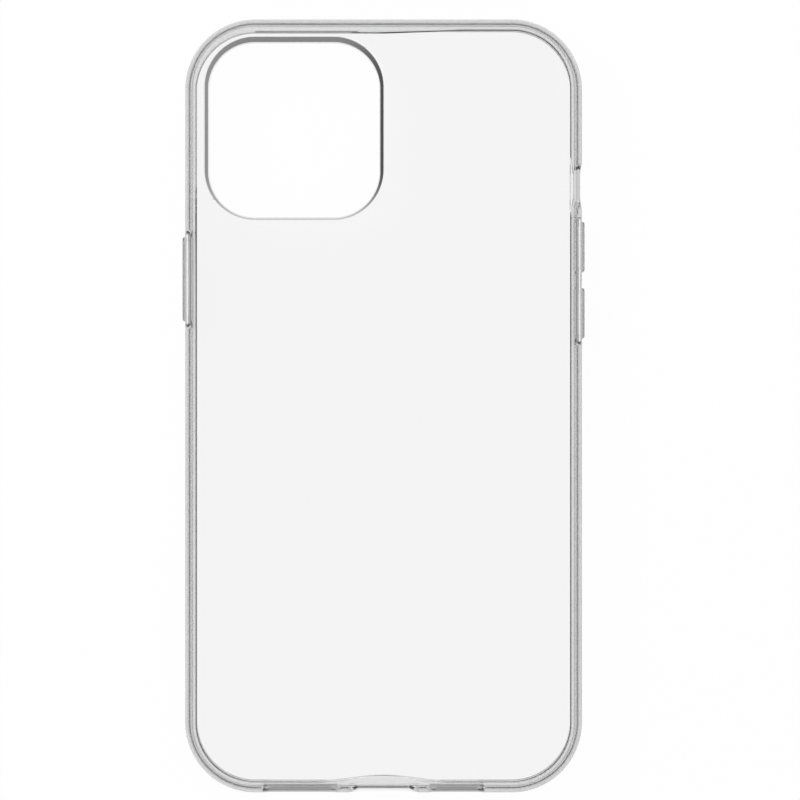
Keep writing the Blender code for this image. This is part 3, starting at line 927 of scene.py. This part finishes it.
class MakeBumper(Operator):
    """Make the soft bumper with its lip, groove and rounded openings"""

    bl_idname = "phone_case.make_bumper"
    bl_label = "Make bumper"

    def execute(self, context):
        case = context.scene.phone_case
        shape = CaseShape(case)
        bm = bmesh.new()
        loft(bm, shape.case_stations(), shape.bumper_section, closed=True)
        bumper = finished("clear_bumper", bm)
        cut_out(bumper, self.bottom_cutters(shape) + self.side_cutters(shape))
        dress(bumper, "bumper_frame", case)
        return {"FINISHED"}

    def bottom_cutters(self, shape):
        """Cutters of the port and of the speaker slots."""
        sizes = shape.case.openings
        port = (sizes.port_width, sizes.port_height, sizes.port_radius)
        edge = (sizes.edge_along, sizes.port_edge_up, sizes.edge_depth)
        inner_edge = (sizes.inner_edge,) * 3
        cutters = [opening_cutter(shape, "port_cut", BOTTOM, 0.0, port, edge, inner_edge)]
        edge = (sizes.edge_along, sizes.slot_edge_up, sizes.edge_depth)
        for name, (along, length) in slots_of(sizes).items():
            slot = (length, sizes.slot_height, sizes.slot_radius)
            cutters.append(opening_cutter(shape, f"{name}_cut", BOTTOM, along, slot, edge, inner_edge))
        return cutters

    def side_cutters(self, shape):
        """Cutters of the mute opening, of the openings round the pads and of the webs' seats."""
        sizes = shape.case.openings
        covers = shape.case.covers
        along = shape.case.bumper.length / 2 - sizes.mute_from_top
        mute = (sizes.mute_length, sizes.mute_height, sizes.mute_radius)
        edge = (sizes.mute_edge_along, sizes.mute_edge_up, sizes.mute_edge_depth)
        inner_edge = (sizes.inner_edge,) * 3
        cutters = [opening_cutter(shape, "mute_cut", RIGHT, along, mute, edge, inner_edge)]
        edge = (sizes.cover_edge,) * 3
        outer = covers.web_outer - shape.case.seam.gap
        for web, (wall, pads) in WEBS.items():
            around = 2 * covers.margin
            for pad in pads:
                along, length = pads_of([pad])
                opening = (length + around, covers.pad_height + around, covers.radius)
                cutters.append(opening_cutter(shape, f"{pad}_cut", wall, along, opening, edge))
            along, length = pads_of(pads)
            around += 2 * covers.web_seat
            seat = (length + around, covers.pad_height + around, covers.radius)
            cutters.append(seat_cutter(shape, f"{web}_seat", wall, along, seat, outer))
        return cutters


class MakeBackPanel(Operator):
    """Make the hard back panel with its tongue and the camera window's seat"""

    bl_idname = "phone_case.make_back_panel"
    bl_label = "Make back panel"

    def execute(self, context):
        case = context.scene.phone_case
        shape = CaseShape(case)
        holes = [shape.window_stations()]
        bm = filled_sheet(shape.case_stations(), shape.panel_edge, holes, shape.window_edge)
        dress(finished("clear_back_panel", bm), "back_panel", case)
        return {"FINISHED"}


class MakeCameraRim(Operator):
    """Make the rim that lines the camera window"""

    bl_idname = "phone_case.make_camera_rim"
    bl_label = "Make camera rim"

    def execute(self, context):
        case = context.scene.phone_case
        shape = CaseShape(case)
        bm = bmesh.new()
        loft(bm, shape.window_stations(), shape.camera_rim_section, closed=True)
        dress(finished("clear_camera_rim_ring", bm), "camera_rim", case)
        return {"FINISHED"}


class MakeButtonWebs(Operator):
    """Make the thin webs behind the buttons, with a hole for each stem"""

    bl_idname = "phone_case.make_button_webs"
    bl_label = "Make button webs"

    def execute(self, context):
        case = context.scene.phone_case
        shape = CaseShape(case)
        covers = case.covers
        ease = case.bumper.ease
        high, low = -covers.web_outer, -covers.web_inner
        border_section = [(ease, high), (0.0, high - ease), (0.0, low + ease), (ease, low)]
        hole_section = [(-ease, high), (0.0, high - ease), (0.0, low + ease), (-ease, low)]
        for web, (wall, pads) in WEBS.items():
            way_along_y = wall[0][1]
            along, length = pads_of(pads)
            around = 2 * (covers.margin + covers.web_seat - case.seam.gap)
            sized = (length + around, covers.pad_height + around)
            runs = runs_of(*sized, STATION_PITCH)
            border = outline_stations(*sized, covers.radius, SMALL_CORNER_STEPS, runs)
            step = 2 * (covers.stem_step - covers.stem_clearance)
            holes = []
            for pad in pads:
                place, pad_length = pads_of([pad])
                shift = (place - along) * way_along_y
                sized = (pad_length - step, covers.pad_height - step)
                runs = runs_of(*sized, STATION_PITCH)
                radius = covers.stem_radius + covers.stem_clearance
                holes.append(outline_stations(*sized, radius, SMALL_CORNER_STEPS, runs, (shift, 0.0)))
            bm = filled_sheet(border, lambda station: border_section, holes, lambda station: hole_section)
            obj = finished(f"clear_{web}", bm, shape.on_wall(wall, along))
            dress(obj, web, case)
        return {"FINISHED"}


class MakeButtonPads(Operator):
    """Make the domed button pads on their stems"""

    bl_idname = "phone_case.make_button_pads"
    bl_label = "Make button pads"

    def execute(self, context):
        case = context.scene.phone_case
        shape = CaseShape(case)
        for wall, pads in WEBS.values():
            for pad in pads:
                along, length = pads_of([pad])
                bm = spool(self.rings(case.covers, case.bumper.ease, length))
                obj = finished(f"clear_{pad}", bm, shape.on_wall(wall, along))
                dress(obj, pad, case)
        return {"FINISHED"}

    def rings(self, covers, ease, length):
        """Rings of a pad from the end of its stem to the crown of its face."""
        face = -covers.pad_proud + covers.pad_crown
        stem = -covers.stem_step
        under = covers.pad_under
        path = [(stem - ease, covers.web_inner), (stem, covers.web_inner - ease), (stem, under)]
        path += [(-ease, under), (0.0, under - ease), (0.0, face + covers.pad_edge)]
        path += quarter_round(path[-1], (-covers.pad_edge, face), EDGE_STEPS, ELLIPSE, False)
        reach = covers.pad_height / 2 - covers.pad_edge
        for step in range(1, EDGE_STEPS):
            share = step / EDGE_STEPS
            crown = covers.pad_crown * (1 - (1 - share) ** 2)
            path.append((-covers.pad_edge - reach * share, face - crown))
        rings = []
        for grown, inset in path:
            radius = covers.stem_radius if grown <= stem and inset > 0 else covers.pad_radius + grown
            sized = (length + 2 * grown, covers.pad_height + 2 * grown, max(radius, ease))
            stations = outline_stations(*sized, SMALL_CORNER_STEPS, (1, 1))
            rings.append([(x, y, -inset) for (x, y), normal in stations])
        return rings


class SetStage(Operator):
    """Set the floor, the surroundings, the lamp and the camera"""

    bl_idname = "phone_case.set_stage"
    bl_label = "Set stage"

    def execute(self, context):
        scene = context.scene
        looks = scene.phone_case.stage
        self.make_floor(looks)
        self.make_surroundings(scene, looks)
        self.make_lamp(scene, looks)
        self.make_camera(scene, scene.phone_case)
        scene.view_settings.view_transform = "Standard"
        for kind in ("max_bounces", "glossy_bounces", "transmission_bounces", "transparent_max_bounces"):
            setattr(scene.cycles, kind, LIGHT_BOUNCES)
        scene.cycles.caustics_reflective = False
        scene.cycles.caustics_refractive = False
        return {"FINISHED"}

    def make_floor(self, looks):
        """A pale floor that shows white to the eye and through the plastic, and still takes a shadow."""
        bm = bmesh.new()
        bmesh.ops.create_grid(bm, x_segments=1, y_segments=1, size=FLOOR_REACH)
        floor = finished("floor", bm, Matrix.Translation((0.0, 0.0, -looks.floor_drop)))
        material = bpy.data.materials.new("pale_floor")
        material.use_nodes = True
        tree = material.node_tree
        shader = tree.nodes["Principled BSDF"]
        values = {"Base Color": (*looks.floor_colour, 1.0), "Roughness": FLOOR_ROUGHNESS}
        set_inputs(tree, shader, {**values, "Specular IOR Level": 0.0})
        glow = tree.nodes.new("ShaderNodeEmission")
        path = tree.nodes.new("ShaderNodeLightPath")
        plain = 0.0
        for ray, share in (
            ("Is Camera Ray", looks.floor_glow),
            ("Is Glossy Ray", looks.floor_mirror),
            ("Is Transmission Ray", looks.floor_through),
        ):
            seen = math_node(tree, "MULTIPLY", path.outputs[ray], share)
            plain = math_node(tree, "MAXIMUM", plain, seen)
        show_mixed(tree, plain, shader, glow)
        floor.data.materials.append(material)

    def make_surroundings(self, scene, looks):
        """A grey studio, brighter overhead, with its own level on each side."""
        world = bpy.data.worlds.new("grey_studio")
        scene.world = world
        world.use_nodes = True
        tree = world.node_tree
        place = tree.nodes.new("ShaderNodeTexCoord")
        parts = add_node(tree, "ShaderNodeSeparateXYZ", {0: place.outputs["Generated"]})
        sides = (
            (parts.outputs["X"], looks.side_right, looks.side_left),
            (parts.outputs["Y"], looks.side_top, looks.side_bottom),
        )
        levels = []
        for lean, ahead, behind in sides:
            even = math_node(tree, "MULTIPLY", lean, lean)
            odd = math_node(tree, "MULTIPLY", lean, math_node(tree, "ABSOLUTE", lean))
            even = math_node(tree, "MULTIPLY", even, (ahead + behind) / 2)
            odd = math_node(tree, "MULTIPLY", odd, (ahead - behind) / 2)
            levels.append(math_node(tree, "ADD", even, odd))
        low = math_node(tree, "ADD", *levels)
        values = {"Value": parts.outputs["Z"], "From Min": SIDES_END, "From Max": ZENITH_START}
        rise = add_node(tree, "ShaderNodeMapRange", values).outputs[0]
        up = math_node(tree, "MULTIPLY", rise, looks.zenith)
        rest = math_node(tree, "SUBTRACT", 1.0, rise)
        level = math_node(tree, "ADD", up, math_node(tree, "MULTIPLY", low, rest))
        set_inputs(tree, tree.nodes["Background"], {"Color": (*WHITE, 1.0), "Strength": level})

    def make_lamp(self, scene, looks):
        """One large soft lamp, high on the left, that the plastic doesn't mirror."""
        lamp = bpy.data.lights.new("soft_key", "AREA")
        lamp.shape = "DISK"
        lamp.size = LAMP_SIZE
        lamp.energy = looks.key_power
        key = bpy.data.objects.new("soft_key", lamp)
        key.location = LAMP_PLACE
        key.rotation_euler = (-key.location).to_track_quat("-Z", "Y").to_euler()
        key.visible_glossy = False
        key.visible_transmission = False
        scene.collection.objects.link(key)

    def make_camera(self, scene, case):
        """A camera straight above the back, framed as the photograph is."""
        looks = case.stage
        lens = bpy.data.cameras.new("camera")
        camera = bpy.data.objects.new("camera", lens)
        camera.location = (looks.aim_x, looks.aim_y, looks.camera_height)
        lens.sensor_width = SENSOR_WIDTH
        lens.lens = SENSOR_WIDTH * (looks.camera_height - case.bumper.height / 2) / looks.picture_width
        lens.clip_start = CLIP_START
        scene.collection.objects.link(camera)
        scene.camera = camera


class PhoneCasePanel(Panel):
    """Sizes, finishes and makers of the clear phone case"""

    bl_idname = "VIEW3D_PT_phone_case"
    bl_label = "Phone case"
    bl_space_type = "VIEW_3D"
    bl_region_type = "UI"
    bl_category = "Phone case"

    def draw(self, context):
        case = context.scene.phone_case
        for maker in MAKERS:
            self.layout.operator(maker.bl_idname)
        for group in ("bumper", "seam", "window", "openings", "covers", "plastics", "stage"):
            box = self.layout.box()
            box.label(text=group.capitalize())
            settings = getattr(case, group)
            for name in settings.__annotations__:
                box.prop(settings, name)


MAKERS = (MakeBumper, MakeBackPanel, MakeCameraRim, MakeButtonWebs, MakeButtonPads, SetStage)
GROUPS = (BumperSizes, SeamSizes, WindowSizes, OpeningSizes, CoverSizes, PlasticLooks, StageLooks)
CLASSES = (*GROUPS, CaseSettings, *MAKERS, PhoneCasePanel)


def register():
    """Add the classes and the scene's settings of the case."""
    for made in CLASSES:
        bpy.utils.register_class(made)
    bpy.types.Scene.phone_case = PointerProperty(type=CaseSettings)


def unregister():
    """Take the settings and the classes away again."""
    del bpy.types.Scene.phone_case
    for made in reversed(CLASSES):
        bpy.utils.unregister_class(made)


def main():
    """Make the case and its stage."""
    register()
    bpy.ops.phone_case.make_bumper()
    bpy.ops.phone_case.make_back_panel()
    bpy.ops.phone_case.make_camera_rim()
    bpy.ops.phone_case.make_button_webs()
    bpy.ops.phone_case.make_button_pads()
    bpy.ops.phone_case.set_stage()


if __name__ == "__main__":
    main()
